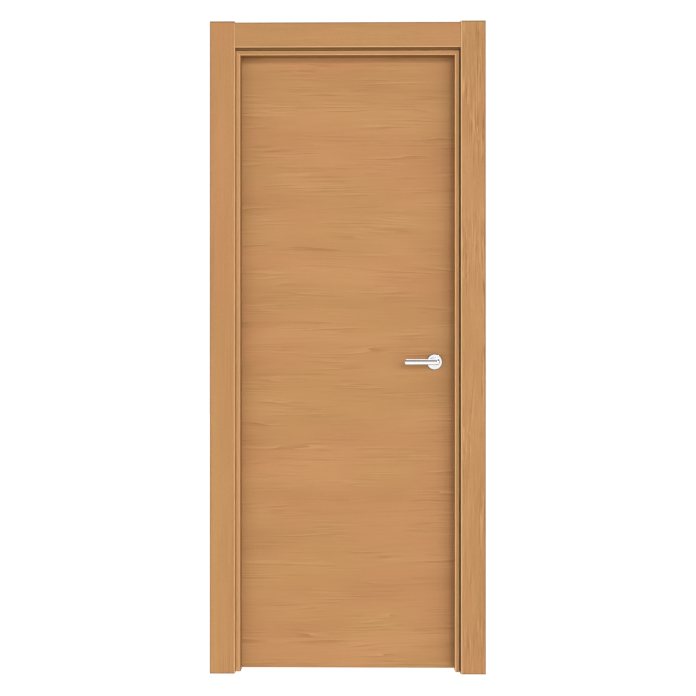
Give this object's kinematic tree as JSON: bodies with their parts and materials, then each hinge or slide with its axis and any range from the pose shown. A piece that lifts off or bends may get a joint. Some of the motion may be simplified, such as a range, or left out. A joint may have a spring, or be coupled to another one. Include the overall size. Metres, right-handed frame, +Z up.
{
  "type": "interior door",
  "caption": "Flush interior door with beech veneer, hung in a rebated frame with architraves on both faces, with lift-off hinges, a latch and sprung lever handles on round roses.",
  "frame": {"origin": "on the hinge jamb's wall face, at floor level, midway through the wall", "axes": "+X along the wall from the hinge jamb to the lock jamb, +Y through the wall from the push side (the face in the picture) to the pull side, +Z up"},
  "size_m": [0.9165, 0.1635, 2.1345],
  "materials": {
    "leaf_veneer": "satin varnish",
    "leaf_edge": "satin varnish",
    "leaf_core": "raw board",
    "frame_veneer": "satin varnish",
    "architrave_veneer": "satin varnish",
    "seal_rubber": "matt",
    "hinge_steel": "satin",
    "latch_steel": "satin",
    "handle_chrome": "polished"
  },
  "bodies": {
    "frame": {"hinge_jamb": "frame_veneer", "lock_jamb": "frame_veneer", "head_jamb": "frame_veneer", "hinge_stop": "frame_veneer", "lock_stop": "frame_veneer", "head_stop": "frame_veneer", "front_hinge_architrave": "architrave_veneer", "front_lock_architrave": "architrave_veneer", "front_head_architrave": "architrave_veneer", "back_hinge_architrave": "architrave_veneer", "back_lock_architrave": "architrave_veneer", "back_head_architrave": "architrave_veneer", "hinge_seal": "seal_rubber", "lock_seal": "seal_rubber", "head_seal": "seal_rubber", "hinge_top_frame_half": "hinge_steel", "hinge_middle_frame_half": "hinge_steel", "hinge_bottom_frame_half": "hinge_steel", "strike_plate": "latch_steel"},
    "leaf": {"leaf_front_skin": "leaf_veneer", "leaf_back_skin": "leaf_veneer", "leaf_core": "leaf_core", "leaf_hinge_stile": "leaf_edge", "leaf_lock_stile": "leaf_edge", "leaf_top_rail": "leaf_edge", "leaf_bottom_rail": "leaf_edge", "hinge_top_leaf_half": "hinge_steel", "hinge_middle_leaf_half": "hinge_steel", "hinge_bottom_leaf_half": "hinge_steel", "latch_forend": "latch_steel", "latch_bolt": "latch_steel", "front_rose": "handle_chrome", "back_rose": "handle_chrome"},
    "handle": {"front_lever": "handle_chrome", "back_lever": "handle_chrome", "spindle": "latch_steel"}
  },
  "joints": [
    {"name": "door_swing", "type": "hinge", "parent": "frame", "child": "leaf", "pos_m": [0.0255, 0.055, 1.021], "axis": [0, 0, 1], "range_deg": [0, 170]},
    {"name": "lever_turn", "type": "hinge", "parent": "leaf", "child": "handle", "pos_m": [0.6775, 0.0275, 1.018], "axis": [0, -1, 0], "range_deg": [0, 45], "stiffness_Nm_per_rad": 1.5, "springref_deg": -28.65}
  ]
}
